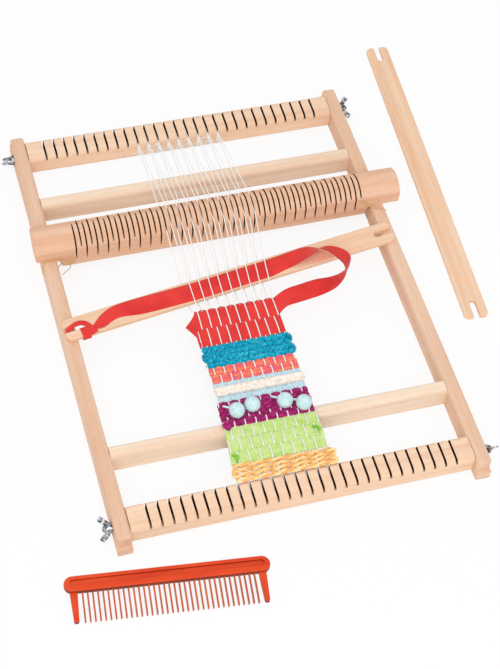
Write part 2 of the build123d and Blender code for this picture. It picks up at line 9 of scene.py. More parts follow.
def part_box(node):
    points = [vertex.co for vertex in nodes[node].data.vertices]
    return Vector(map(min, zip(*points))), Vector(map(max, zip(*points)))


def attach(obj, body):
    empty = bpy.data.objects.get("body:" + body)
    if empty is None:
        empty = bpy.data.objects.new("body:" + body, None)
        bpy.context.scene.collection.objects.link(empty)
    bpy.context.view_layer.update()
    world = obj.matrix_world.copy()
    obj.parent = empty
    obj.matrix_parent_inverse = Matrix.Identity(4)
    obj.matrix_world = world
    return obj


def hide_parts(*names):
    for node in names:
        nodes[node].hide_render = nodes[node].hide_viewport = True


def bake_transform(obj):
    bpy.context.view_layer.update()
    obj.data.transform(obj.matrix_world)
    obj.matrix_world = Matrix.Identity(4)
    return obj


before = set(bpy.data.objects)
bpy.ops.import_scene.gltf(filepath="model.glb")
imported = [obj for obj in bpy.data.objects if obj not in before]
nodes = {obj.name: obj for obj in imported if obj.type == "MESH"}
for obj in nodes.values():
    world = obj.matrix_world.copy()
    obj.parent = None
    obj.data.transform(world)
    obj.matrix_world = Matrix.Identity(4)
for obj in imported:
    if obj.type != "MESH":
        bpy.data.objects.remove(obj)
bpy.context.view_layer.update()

scene = bpy.context.scene
mm = 0.001


def at(x, y, z):
    return Vector((x * mm, y * mm, z * mm))


def paint(red, green, blue):  # screen colour, 0 to 255, as a linear colour
    def linear(c):
        c /= 255
        return c / 12.92 if c <= 0.04045 else ((c + 0.055) / 1.055) ** 2.4
    return (linear(red), linear(green), linear(blue), 1)


# nodes for the materials
def newMaterial(name, roughness, metallic=0.0, gloss=0.5):
    material = bpy.data.materials.new(name)
    material.use_nodes = True
    shader = material.node_tree.nodes["Principled BSDF"]
    shader.inputs["Roughness"].default_value = roughness
    shader.inputs["Metallic"].default_value = metallic
    shader.inputs["Specular IOR Level"].default_value = gloss
    return material, material.node_tree, shader


def addNode(tree, kind, settings=None, **inputs):
    node = tree.nodes.new("ShaderNode" + kind)
    for key, value in (settings or {}).items():
        setattr(node, key, value)
    for key, value in inputs.items():
        socket = node.inputs[key]
        if hasattr(value, "is_linked"):
            tree.links.new(value, socket)
        else:
            socket.default_value = value
    return node


def placeNode(tree, scale, turn=0.0, source="Object"):  # turned about z first, then scaled
    where = addNode(tree, "TexCoord").outputs[source]
    if turn:
        where = addNode(tree, "Mapping", Vector=where, Rotation=(0, 0, turn)).outputs["Vector"]
    return addNode(tree, "Mapping", Vector=where, Scale=scale).outputs["Vector"]


def noiseNode(tree, where, scale=1.0, detail=4.0, roughness=0.55, distortion=0.0):
    return addNode(tree, "TexNoise", Vector=where, Scale=scale, Detail=detail, Roughness=roughness,
                   Distortion=distortion).outputs["Fac"]


def rampNode(tree, factor, stops):
    node = addNode(tree, "ValToRGB", Fac=factor)
    elements = node.color_ramp.elements
    while len(elements) < len(stops):
        elements.new(0.5)
    for element, (position, colour) in zip(elements, stops):
        element.position = position
        element.color = colour
    return node.outputs["Color"]


def mixColour(tree, factor, first, second, blend="MIX"):
    node = tree.nodes.new("ShaderNodeMix")
    node.data_type = "RGBA"
    node.blend_type = blend
    for socket, value in ((node.inputs[0], factor), (node.inputs[6], first), (node.inputs[7], second)):
        if hasattr(value, "is_linked"):
            tree.links.new(value, socket)
        else:
            socket.default_value = value
    return node.outputs[2]


def mathNode(tree, operation, first, second):
    node = tree.nodes.new("ShaderNodeMath")
    node.operation = operation
    for socket, value in zip(node.inputs, (first, second)):
        if hasattr(value, "is_linked"):
            tree.links.new(value, socket)
        else:
            socket.default_value = value
    return node.outputs[0]


def bumpInto(tree, shader, height, strength, distance):
    bump = addNode(tree, "Bump", Height=height, Strength=strength, Distance=distance)
    tree.links.new(bump.outputs["Normal"], shader.inputs["Normal"])


# beech: pale wood with soft streaks, fine pores and short dark flecks along the grain
beech = {"pale": paint(248, 219, 192), "middle": paint(243, 207, 176), "warm": paint(235, 192, 158),
         "fleck": paint(196, 146, 112), "roughness": 0.55, "gloss": 0.25}


def makeBeech(name, turn, tint=(1, 1, 1, 1), seedShift=0.0):
    material, tree, shader = newMaterial(name, beech["roughness"], gloss=beech["gloss"])
    streaks = noiseNode(tree, placeNode(tree, (4, 120, 120), turn), 1.0, 3.0, 0.5, 0.3 + seedShift)
    pores = noiseNode(tree, placeNode(tree, (40, 1300, 1300), turn), 1.0, 2.0, 0.6)
    flecks = noiseNode(tree, placeNode(tree, (150, 1100, 1100), turn), 1.0, 1.0, 0.4)
    base = rampNode(tree, streaks, [(0.28, beech["warm"]), (0.5, beech["middle"]), (0.74, beech["pale"])])
    poreShade = rampNode(tree, pores, [(0.3, (0.9, 0.86, 0.83, 1)), (0.55, (1, 1, 1, 1))])
    grained = mixColour(tree, 0.7, base, poreShade, "MULTIPLY")
    fleckMask = rampNode(tree, flecks, [(0.67, (0, 0, 0, 1)), (0.75, (1, 1, 1, 1))])
    flecked = mixColour(tree, mathNode(tree, "MULTIPLY", fleckMask, 0.35), grained, beech["fleck"])
    tinted = mixColour(tree, 1.0, flecked, tint, "MULTIPLY")
    tree.links.new(tinted, shader.inputs["Base Color"])
    rough = rampNode(tree, pores, [(0.2, (0.66, 0.66, 0.66, 1)), (0.8, (0.5, 0.5, 0.5, 1))])
    tree.links.new(rough, shader.inputs["Roughness"])
    bumpInto(tree, shader, pores, 0.12, 0.0004)
    return material


# the saw leaves the slots' walls scorched, and their colour is darkened further with painted shade for the narrow slots
burntAndShadedSlot = {"dark": paint(48, 28, 18), "light": paint(112, 72, 46), "roughness": 0.85}


def makeBurntAndShadedSlot():
    material, tree, shader = newMaterial("burntAndShadedSlotBeech", burntAndShadedSlot["roughness"], gloss=0.1)
    burnAndShade = noiseNode(tree, placeNode(tree, (900, 260, 90)), 1.0, 3.0, 0.6)
    colour = rampNode(tree, burnAndShade, [(0.35, burntAndShadedSlot["dark"]), (0.75, burntAndShadedSlot["light"])])
    tree.links.new(colour, shader.inputs["Base Color"])
    bumpInto(tree, shader, burnAndShade, 0.3, 0.0003)
    return material


# steel: the dark and pale blotches in its colour are painted reflections, and the same noise varies its roughness
zinc = {"pale": paint(206, 208, 212), "dark": paint(62, 64, 68), "roughness": 0.3}


def makeZinc():
    material, tree, shader = newMaterial("zincSteel", zinc["roughness"], 1.0)
    paintedReflections = noiseNode(tree, placeNode(tree, (380, 380, 380)), 1.0, 3.0, 0.6)
    colour = rampNode(tree, paintedReflections, [(0.4, zinc["dark"]), (0.6, zinc["pale"])])
    tree.links.new(colour, shader.inputs["Base Color"])
    rough = rampNode(tree, paintedReflections, [(0.3, (0.46, 0.46, 0.46, 1)), (0.7, (0.24, 0.24, 0.24, 1))])
    tree.links.new(rough, shader.inputs["Roughness"])
    bumpInto(tree, shader, paintedReflections, 0.15, 0.0003)
    return material


# comb plastic; line and shade are a dark copy of its colour and tooth and toothPale a browner one, painted shade for
# the walls and the teeth
combLook = {"bright": paint(232, 78, 26), "deep": paint(216, 60, 14), "shade": paint(150, 44, 16),
            "line": paint(112, 32, 14), "tooth": paint(186, 78, 36), "toothPale": paint(208, 96, 48),
            "roughness": 0.4}


def makeCombPlastic(name, low, high):
    material, tree, shader = newMaterial(name, combLook["roughness"], gloss=0.3)
    flow = noiseNode(tree, placeNode(tree, (24, 60, 60)), 1.0, 2.0, 0.5)
    colour = rampNode(tree, flow, [(0.3, combLook[low]), (0.7, combLook[high])])
    tree.links.new(colour, shader.inputs["Base Color"])
    grain = noiseNode(tree, placeNode(tree, (1500, 1500, 1500)), 1.0, 2.0, 0.5)
    rough = rampNode(tree, grain, [(0.2, (0.48, 0.48, 0.48, 1)), (0.8, (0.34, 0.34, 0.34, 1))])
    tree.links.new(rough, shader.inputs["Roughness"])
    bumpInto(tree, shader, grain, 0.04, 0.0002)
    return material


# textiles: a colour that wanders a little, a fine fibre bump and a soft sheen
def makeFibre(name, dark, middle, pale, scale, roughness=0.9, sheen=0.15, bump=0.5, depth=0.0006):
    material, tree, shader = newMaterial(name, roughness, gloss=0.15)
    wander = noiseNode(tree, placeNode(tree, scale), 1.0, 4.0, 0.65)
    tree.links.new(rampNode(tree, wander, [(0.32, dark), (0.5, middle), (0.68, pale)]), shader.inputs["Base Color"])
    fibre = noiseNode(tree, placeNode(tree, tuple(3 * s for s in scale)), 1.0, 3.0, 0.7)
    bumpInto(tree, shader, fibre, bump, depth)
    shader.inputs["Sheen Weight"].default_value = sheen
    shader.inputs["Sheen Roughness"].default_value = 0.5
    return material


# thread: two plies wound round each other, drawn as slanted bands
def makeThread(name, dark, pale, bands, turn):
    material, tree, shader = newMaterial(name, 0.8, gloss=0.2)
    where = placeNode(tree, (bands, bands, bands), turn)
    twist = addNode(tree, "TexWave", {"bands_direction": "X"}, Vector=where, Scale=1.0, Distortion=0.6,
                    Detail=2.0).outputs["Fac"]
    tree.links.new(rampNode(tree, twist, [(0.1, dark), (0.55, pale)]), shader.inputs["Base Color"])
    bumpInto(tree, shader, twist, 0.3, 0.0002)
    return material


# ribbon: fine ribs across its width, from the piece's own UV map
ribbonLook = {"deep": paint(216, 40, 38), "bright": paint(236, 56, 50), "roughness": 0.6}


def makeRibbon(name, ribs):
    material, tree, shader = newMaterial(name, ribbonLook["roughness"], gloss=0.25)
    rib = addNode(tree, "TexWave", {"bands_direction": "X"}, Vector=placeNode(tree, (ribs, 1, 1), source="UV"),
                  Scale=1.0, Distortion=0.15, Detail=1.0).outputs["Fac"]
    cloud = noiseNode(tree, placeNode(tree, (45, 45, 45)), 1.0, 3.0, 0.5)
    colour = rampNode(tree, cloud, [(0.3, ribbonLook["deep"]), (0.6, ribbonLook["bright"])])
    ribShade = rampNode(tree, rib, [(0.0, (0.9, 0.84, 0.84, 1)), (0.6, (1, 1, 1, 1))])
    tree.links.new(mixColour(tree, 0.5, colour, ribShade, "MULTIPLY"), shader.inputs["Base Color"])
    bumpInto(tree, shader, rib, 0.25, 0.0003)
    shader.inputs["Sheen Weight"].default_value = 0.15
    return material


shuttleLie = {"centre": (-1.0, 10.5), "angle": 8.3}
spareLie = {"angle": 86.95}
beechAlongX = makeBeech("beechAlongX", 0.0)
# the stretchers' beech is tinted brighter and paler, painted light on faces the lamp leaves dim
paintedLightStretcherBeech = makeBeech("paintedLightStretcherBeech", 0.0, (1.04, 1.2, 1.34, 1), 0.15)
beechAlongY = makeBeech("beechAlongY", radians(-90), (0.92, 0.88, 0.89, 1), 0.2)
heddleBeech = makeBeech("heddleBeech", 0.0, (0.93, 0.82, 0.78, 1), 0.3)
shuttleBeech = makeBeech("shuttleBeech", radians(-shuttleLie["angle"]), (1, 0.97, 0.94, 1), 0.1)
spareBeech = makeBeech("spareBeech", radians(-spareLie["angle"]), (1, 0.98, 0.96, 1), 0.5)
burntAndShadedSlotBeech = makeBurntAndShadedSlot()
zincSteel = makeZinc()
combPlastic = makeCombPlastic("combPlastic", "deep", "bright")
combShade = makeCombPlastic("combShade", "line", "shade")
combTeethPaintedShade = makeCombPlastic("combTeethPaintedShade", "tooth", "toothPale")
whiteCotton = makeThread("whiteCotton", paint(244, 243, 241), paint(255, 255, 255), 900, radians(55))
tieTwine = makeThread("tieTwine", paint(206, 158, 96), paint(238, 206, 150), 900, radians(40))
turquoiseChenille = makeFibre("turquoiseChenille", paint(0, 134, 178), paint(0, 176, 206), paint(84, 216, 230),
                              (420, 420, 420), sheen=0.05, bump=0.6)
coralSlub = makeFibre("coralSlub", paint(228, 84, 136), paint(244, 118, 102), paint(255, 160, 110), (45, 330, 330))
paleBlueFelt = makeFibre("paleBlueFelt", paint(172, 212, 228), paint(192, 226, 238), paint(214, 238, 247),
                         (300, 300, 300), bump=0.3)
creamBraid = makeFibre("creamBraid", paint(238, 212, 190), paint(251, 240, 228), paint(255, 252, 247),
                       (300, 300, 300))
purpleYarn = makeFibre("purpleYarn", paint(104, 6, 66), paint(156, 18, 98), paint(204, 50, 136),
                       (220, 460, 460), 0.6)
limeFelt = makeFibre("limeFelt", paint(182, 216, 112), paint(200, 226, 138), paint(216, 234, 164),
                     (150, 150, 150), bump=0.3)
darkFelt = makeFibre("darkFelt", paint(112, 178, 52), paint(138, 198, 70), paint(166, 216, 100),
                     (170, 170, 170), bump=0.35)
ropeYellow = makeFibre("ropeYellow", paint(252, 204, 124), paint(255, 224, 156), paint(255, 238, 190),
                       (240, 420, 420))
# the second rope strand: the same yarn, coloured orange as painted shade
ropePaintedShade = makeFibre("ropePaintedShade", paint(238, 152, 74), paint(248, 186, 112), paint(254, 210, 146),
                       (240, 420, 420))
pompomPlush = makeFibre("pompomPlush", paint(196, 228, 235), paint(212, 238, 243), paint(230, 247, 250),
                        (420, 420, 420), bump=0.3)
print("materials made")


# the hard pieces keep their CAD shape
def dress(name, material):
    mesh = nodes[name].data
    mesh.materials.clear()
    mesh.materials.append(material)
    return mesh


for name in ("left_rail", "right_rail"):
    dress(name, beechAlongY)
for name in ("front_stretcher", "back_stretcher", "stretcher_dowels"):
    dress(name, paintedLightStretcherBeech)
dress("shuttle", shuttleBeech)
dress("spare_shuttle", spareBeech)
combLie = {"centre": (-129.6, -257.2), "angle": -6.7, "toothRoot": -7.2, "toothReach": 72.0, "wallNormal": 0.35}
mesh = dress("comb", combPlastic)
mesh.materials.append(combShade)
mesh.materials.append(combTeethPaintedShade)
for face in mesh.polygons:  # painted shade: the thin teeth get a darker, browner copy of the plastic, and upright walls a dark copy as the shade they lie in
    place = Matrix.Rotation(radians(-combLie["angle"]), 2) @ (face.center.xy / mm - Vector(combLie["centre"]))
    if place.y < combLie["toothRoot"] and abs(place.x) < combLie["toothReach"]:
        face.material_index = 2
    elif abs(face.normal.z) < combLie["wallNormal"]:
        face.material_index = 1
for corner in ("front_left", "front_right", "back_left", "back_right"):
    for part in ("bolt", "washer", "wing_nut"):
        dress(f"{corner}_{part}", zincSteel)

slots = {"endMargin": 0.006, "wallNormal": 0.98, "reach": 0.1435}
# the slots' walls take the scorched wood with painted shade
for name, material in (("front_beam", beechAlongX), ("back_beam", beechAlongX), ("heddle_bar", heddleBeech)):
    mesh = dress(name, material)
    mesh.materials.append(burntAndShadedSlotBeech)
    low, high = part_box(name)
    for face in mesh.polygons:
        inside = low.x + slots["endMargin"] < face.center.x < high.x - slots["endMargin"]
        if inside and abs(face.normal.x) > slots["wallNormal"] and abs(face.center.x) < slots["reach"]:
            face.material_index = 1
print("wood, steel and plastic dressed")


# tools for the soft pieces
def splineObject(routes, radius, order, resolution, sides, radii=None):
    curve = bpy.data.curves.new("route", "CURVE")
    curve.dimensions = "3D"
    curve.resolution_u = resolution
    curve.bevel_depth = radius
    curve.bevel_resolution = sides
    curve.fill_mode = "FULL"
    curve.use_fill_caps = radius > 0
    for number, route in enumerate(routes):
        spline = curve.splines.new("NURBS" if order > 2 else "POLY")
        spline.points.add(len(route) - 1)
        for i, place in enumerate(route):
            spline.points[i].co = (*place, 1)
            spline.points[i].radius = radii[number][i] if radii else 1
        if order > 2:
            spline.order_u = order
            spline.use_endpoint_u = True
    holder = bpy.data.objects.new("route", curve)
    scene.collection.objects.link(holder)
    return holder


def takeMesh(holder):
    bpy.context.view_layer.update()
    graph = bpy.context.evaluated_depsgraph_get()
    mesh = bpy.data.meshes.new_from_object(holder.evaluated_get(graph))
    curve = holder.data
    bpy.data.objects.remove(holder)
    bpy.data.curves.remove(curve)
    return mesh


def tubes(routes, radius, order=3, resolution=4, sides=2, radii=None):
    return takeMesh(splineObject(routes, radius, order, resolution, sides, radii))


def readRoute(route, order=3, resolution=8):
    mesh = takeMesh(splineObject([route], 0, order, resolution, 0))
    points = [v.co.copy() for v in mesh.vertices]
    bpy.data.meshes.remove(mesh)
    return points


def addPiece(name, mesh, material, smooth=True):
    mesh.name = name
    piece = bpy.data.objects.new(name, mesh)
    scene.collection.objects.link(piece)
    mesh.materials.clear()
    mesh.materials.append(material)
    for face in mesh.polygons:
        face.use_smooth = smooth
    return piece


def meshFrom(bm, name):
    mesh = bpy.data.meshes.new(name)
    bm.to_mesh(mesh)
    bm.free()
    return mesh


def stripGrid(across, along):
    bm = bmesh.new()
    bm.loops.layers.uv.new("UVMap")
    bmesh.ops.create_grid(bm, x_segments=across, y_segments=along, size=0.5, calc_uvs=True)
    return bm


def thickened(bm, name, thickness):
    bmesh.ops.solidify(bm, geom=bm.faces[:], thickness=thickness * mm)
    bmesh.ops.recalc_face_normals(bm, faces=bm.faces[:])
    return meshFrom(bm, name)


def plyRoute(points, radius, pitch, phase, flatten=1.0):
    route, run = [], 0.0
    for i, place in enumerate(points):
        before, after = points[max(i - 1, 0)], points[min(i + 1, len(points) - 1)]
        if i:
            run += (place - points[i - 1]).length
        along = (after - before).normalized()
        side = along.cross(Vector((0, 0, 1))).normalized()
        lift = side.cross(along)
        angle = 2 * pi * run / pitch + phase
        route.append(place + (side * cos(angle) + lift * sin(angle) * flatten) * radius)
    return route


# the weaving: eighteen threads, and seven bands from the fell to the front beam
weaving = {"threads": 18, "fellY": -17.3, "endY": -180.8, "fellLeft": -46.5, "fellPitch": 4.4,
           "endLeft": -53.0, "endPitch": 4.9, "z": 23.5}
bandRows = [("ribbon", 2, 40.0, -50.0, 30.0), ("turquoise", 4, 23.0, -47.6, 29.6), ("coral", 2, 16.5, -46.6, 28.2),
            ("braid", 3, 21.5, -48.7, 30.4), ("purple", 5, 24.5, -48.5, 27.2), ("felt", 3, 38.0, -51.6, 31.0),
            ("rope", 4, 17.8, -55.0, 33.0)]
bands, rowCount, farY = {}, 0, weaving["fellY"]
for name, rows, depth, left, right in bandRows:
    bands[name] = {"rows": rows, "first": rowCount, "farY": farY, "pitch": depth / rows, "left": left, "right": right}
    rowCount += rows
    farY -= depth


def share(y):
    return (weaving["fellY"] - y) / (weaving["fellY"] - weaving["endY"])


def threadLeft(y):
    return weaving["fellLeft"] + (weaving["endLeft"] - weaving["fellLeft"]) * share(y)


def threadPitch(y):
    return weaving["fellPitch"] + (weaving["endPitch"] - weaving["fellPitch"]) * share(y)


def threadX(k, y):
    return threadLeft(y) + k * threadPitch(y)


def onTop(k, row):  # odd threads lie over the even rows
    return (k + row) % 2 == 1


def rowY(band, n):
    return band["farY"] - (n + 0.5) * band["pitch"]


# one yarn back and forth through a band, over one thread and under the next
def weftRoute(band, lift, turnOut, squeeze=1.0, shift=0.0, pinch=0.0):
    route, middle = [], band["farY"] - band["rows"] * band["pitch"] / 2
    for n in range(band["rows"]):
        y = rowY(band, n)
        aside = shift if n % 2 == 0 else -shift
        row = [(band["left"], y + aside, 0)]
        for k in range(weaving["threads"]):
            under = onTop(k, band["first"] + n)
            drawn = 1 - pinch if under else 1 + pinch
            row.append((threadX(k, y), y + aside * drawn, -2 * lift if under else 2 * lift))
        row.append((band["right"], y + aside, 0))
        if n % 2:
            row.reverse()
        route += row
        if n < band["rows"] - 1:
            edge = band["right"] + turnOut if n % 2 == 0 else band["left"] - turnOut
            route += [(edge, y - band["pitch"] * 0.3, 0), (edge, y - band["pitch"] * 0.7, 0)]
    return [at(x, middle + (y - middle) / squeeze, weaving["z"] + z) for x, y, z in route], middle


def widen(mesh, middle, squeeze):
    centre = Matrix.Translation(at(0, middle, 0))
    mesh.transform(centre @ Matrix.Diagonal((1, squeeze, 1, 1)) @ centre.inverted())


def joined(*meshes):
    bm = bmesh.new()
    for mesh in meshes:
        bm.from_mesh(mesh)
        bpy.data.meshes.remove(mesh)
    return meshFrom(bm, "joined")


def softPiece(name, mesh, material, nodeName, body="frame"):
    piece = addPiece(name, mesh, material)
    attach(piece, body)
    if nodeName:
        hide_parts(nodeName)
    return piece


# short fibres that stand out from a line
def pile(line, count, length, thickness, spread, seed, ratio=1.0):
    chance = random.Random(seed)
    hairs = []
    for _ in range(count):
        i = chance.randrange(1, len(line) - 1)
        along = (line[i + 1] - line[i - 1]).normalized()
        side = along.cross(Vector((0, 0, 1))).normalized()
        angle = chance.uniform(0, 2 * pi)
        out = side * cos(angle) * ratio + Vector((0, 0, 1)) * sin(angle)
        aim = (out.normalized() + along * chance.uniform(-spread, spread)).normalized()
        root = line[i] + out * (chance.uniform(0.7, 1.0) * length) + along * chance.uniform(-0.5, 0.5) * mm
        hairs.append([root, root + aim * length * chance.uniform(0.6, 1.1)])
    return tubes(hairs, thickness, order=2, sides=0, radii=[[1, 0.35]] * count)


# turquoise chenille
chenille = {"radius": 1.9, "lift": 0.35, "squeeze": 1.55, "turnOut": 1.0, "fibres": 7500, "fibre": 1.5,
            "thickness": 0.24, "rise": 0.4, "spread": 0.9, "seed": 3, "ratio": 1.5}
route, middle = weftRoute(bands["turquoise"], chenille["lift"], chenille["turnOut"], chenille["squeeze"])
core = tubes([route], chenille["radius"] * mm, resolution=6, sides=3)
widen(core, middle, chenille["squeeze"])
line = [Vector((p.x, (p.y - middle * mm) * chenille["squeeze"] + middle * mm, p.z + chenille["rise"] * mm))
        for p in readRoute(route)]
fluff = pile(line, chenille["fibres"], chenille["fibre"] * mm, chenille["thickness"] * mm, chenille["spread"],
             chenille["seed"], chenille["ratio"])
softPiece("turquoiseWeft", joined(core, fluff), turquoiseChenille, "turquoise_weft")

# coral slub: three strands side by side that swell between the threads
slub = {"radius": 1.5, "lift": 0.75, "apart": 2.5, "turnOut": 0.6, "pinch": 0.22, "swell": (0.88, 1.14)}
chance = random.Random(5)
strands = [weftRoute(bands["coral"], slub["lift"], slub["turnOut"], 1.0, shift, slub["pinch"])[0]
           for shift in (-slub["apart"], 0, slub["apart"])]
swells = [[chance.uniform(*slub["swell"]) for _ in strand] for strand in strands]
mesh = tubes(strands, slub["radius"] * mm, resolution=6, sides=3, radii=swells)
softPiece("coralWeft", mesh, coralSlub, "coral_weft")

# purple yarn: two plies, packed close
purple = {"ply": 2.1, "wind": 0.9, "lift": 0.8, "squeeze": 1.3, "pitch": 6.0, "turnOut": 0.3, "lump": 2.9,
          "lumpRoute": [(-44, -139.5, 24), (-48.5, -140, 25.4), (-50.5, -143, 25.8), (-46.5, -144.5, 24.8)]}
route, middle = weftRoute(bands["purple"], purple["lift"], purple["turnOut"], purple["squeeze"])
line = readRoute(route, 3, 6)
plies = [plyRoute(line, purple["wind"] * mm, purple["pitch"] * mm, phase, 0.5) for phase in (0, pi)]
mesh = tubes(plies, purple["ply"] * mm, order=2, sides=2)
widen(mesh, middle, purple["squeeze"])
lump = [at(*p) for p in purple["lumpRoute"]]
mesh = joined(mesh, tubes([lump], purple["lump"] * mm, resolution=6, sides=3))
softPiece("purpleWeft", mesh, purpleYarn, "purple_weft")

# rope: two strands wound together, back and forth along the beam; the second strand is coloured orange as painted shade
# between the plies
rope = {"strand": 1.3, "wind": 1.0, "pitch": 17.0, "lift": 0.1, "turnOut": 1.0, "fan": 3.0, "fanFrom": 0.6}
band = bands["rope"]
line = readRoute(weftRoute(band, rope["lift"], rope["turnOut"])[0], 3, 6)
for place in line:  # the rows fan out towards the left
    toLeft = (band["right"] * mm - place.x) / ((band["right"] - band["left"]) * mm)
    toFar = 1 - (band["farY"] * mm - place.y) / (band["rows"] * band["pitch"] * mm)
    place.y += rope["fan"] * mm * (toLeft - rope["fanFrom"]) * toFar
for name, material, phase in (("ropeYellowStrand", ropeYellow, 0), ("ropePaintedShadeStrand", ropePaintedShade, pi)):
    strand = plyRoute(line, rope["wind"] * mm, rope["pitch"] * mm, phase)
    mesh = tubes([strand], rope["strand"] * mm, order=2, sides=2)
    softPiece(name, mesh, material, "rope_weft")
print("yarn bands woven")


# flat strips that lie over the threads and dip under the floats
def weaveStrip(name, row, far, depth, left, right, look, material, nodeName):
    bm = stripGrid(400, 10)
    for v in bm.verts:
        u, w = v.co.x + 0.5, v.co.y + 0.5
        y = far - depth * (1 - w)
        start = left[0] + (left[1] - left[0]) * (1 - w)
        stop = right[0] + (right[1] - right[0]) * (1 - w)
        x = start + (stop - start) * u
        phase = ((x - threadLeft(y)) / threadPitch(y) + row - 1) / 2
        off = 2 * abs(phase - round(phase))  # 0 at a float, 1 at a thread below
        swell = 1 - exp(-(off / look["groove"]) ** 2)
        edge = abs(2 * w - 1) ** 3
        reach = look["farScallop"] if w > 0.5 else -look["nearScallop"]
        y += reach * (sin(pi * off / 2) ** 0.8 - 0.3) * edge
        wander = noise.noise(Vector((x * 0.23, y * 0.3, row * 3.1)))
        y += look["ragged"] * wander * edge
        z = weaving["z"] + look["dip"] + (look["rise"] - look["dip"]) * swell + 0.2 * wander - look["roll"] * edge
        v.co = at(x, y, z)
    return softPiece(name, thickened(bm, name, look["thickness"]), material, nodeName)


ribbonRows = {"groove": 0.16, "rise": 0.5, "dip": -0.4, "thickness": 0.5, "farScallop": 1.6, "nearScallop": 0.6,
              "ragged": 0.2, "roll": 0.15, "ribs": 40, "secondScallop": 0.7, "farLeft": -45.0}
rowRibbon = makeRibbon("rowRibbon", ribbonRows["ribs"])
band = bands["ribbon"]
for n, name in enumerate(("ribbonRowFar", "ribbonRowNear")):
    look = dict(ribbonRows, farScallop=ribbonRows["farScallop"] if n == 0 else ribbonRows["secondScallop"])
    left = (ribbonRows["farLeft"] if n == 0 else band["left"], band["left"])
    piece = weaveStrip(name, n, band["farY"] - n * band["pitch"], band["pitch"], left, (band["right"],) * 2,
                       look, rowRibbon, "ribbon_weft")

# the ribbon's turn at the left edge, folded to a point
turnFold = {"outer": [(-45.5, -20), (-51, -26.5), (-57, -32.4), (-53.5, -39), (-49.5, -47), (-48.6, -56.5)],
            "rise": [0.9, 1.0, 0.7, 1.3, 1.5, 1.2], "inner": (-44.0, -34.0), "thickness": 0.5, "steps": 4.999}
bm = stripGrid(30, 8)
for v in bm.verts:
    t, w = (v.co.x + 0.5) * turnFold["steps"], v.co.y + 0.5
    i = int(t)
    (x0, y0), (x1, y1) = turnFold["outer"][i:i + 2]
    rise = turnFold["rise"][i] + (turnFold["rise"][i + 1] - turnFold["rise"][i]) * (t - i)
    x, y = x0 + (x1 - x0) * (t - i), y0 + (y1 - y0) * (t - i)
    innerX, innerY = turnFold["inner"]
    outward = 0.25 + 0.75 * w
    x, y = innerX + (x - innerX) * outward, innerY + (y - innerY) * outward
    v.co = at(x, y, weaving["z"] + rise * (0.3 + 0.7 * w))
ribbonFold = softPiece("ribbonFold", thickened(bm, "ribbonFold", turnFold["thickness"]), rowRibbon,
                       "ribbon_weft")

# felt: three strips and the dark folds where one turns into the next
feltRows = {"groove": 0.14, "rise": 0.5, "dip": -0.35, "thickness": 1.1, "farScallop": 0.3, "nearScallop": 0.3,
            "ragged": 0.5, "roll": 0.12, "slant": 1.2, "fold": 1.5,
            "folds": [[(22.5, -159, 24.4), (26.5, -160, 25.2), (28, -163.5, 25.2), (25.5, -166.5, 24.4)],
                      [(-53, -171.5, 24.4), (-49.5, -172.5, 25.2), (-48.5, -176, 25.2), (-50.5, -179.5, 24.4)]]}
band = bands["felt"]
for n, name in enumerate(("feltRowFar", "feltRowMiddle", "feltRowNear")):
    left = (band["left"] - n * feltRows["slant"], band["left"] - (n + 1) * feltRows["slant"])
    piece = weaveStrip(name, band["first"] + n, band["farY"] - n * band["pitch"], band["pitch"], left,
                       (band["right"],) * 2, feltRows, limeFelt, "felt_weft")
folds = [[at(*p) for p in fold] for fold in feltRows["folds"]]
mesh = tubes(folds, feltRows["fold"] * mm, resolution=6, radii=[[0.5, 1.2, 1.2, 0.5]] * len(folds))
softPiece("feltFolds", mesh, darkFelt, "felt_weft")

# braid: a pale blue strip with a cream plait of three strands along its middle
braid = {"groove": 0.15, "rise": 0.65, "dip": -0.3, "thickness": 1.6, "farScallop": 0.4, "nearScallop": 0.4,
         "ragged": 0.5, "roll": 0.3, "depth": 7.6, "plaitWidth": 3.3, "plaitRise": 0.9, "plaitLift": 1.7,
         "plaitShift": 0.8, "plaitLength": 8.5, "strand": 1.7}
band = bands["braid"]
for n, name in ((0, "paleBlueFar"), (2, "paleBlueNear")):
    far = band["farY"] if n == 0 else band["farY"] - 3 * band["pitch"] + braid["depth"]
    weaveStrip(name, band["first"] + n, far, braid["depth"], (band["left"],) * 2, (band["right"],) * 2, braid,
               paleBlueFelt, "braid_weft")
strands, y = [], rowY(band, 1) + braid["plaitShift"]
steps = int((band["right"] - band["left"]) / braid["plaitLength"] * 12)
for strand in range(3):
    route = []
    for i in range(steps + 1):
        x = band["left"] + (band["right"] - band["left"]) * i / steps
        phase = 2 * pi * ((x - band["left"]) / braid["plaitLength"] + strand / 3)
        z = weaving["z"] + braid["plaitLift"] + braid["plaitRise"] * sin(2 * phase)
        route.append(at(x, y + braid["plaitWidth"] * sin(phase), z))
    strands.append(route)
mesh = tubes(strands, braid["strand"] * mm, resolution=3, sides=2)
softPiece("creamPlait", mesh, creamBraid, "braid_weft")
print("ribbon, felt and braid laid")

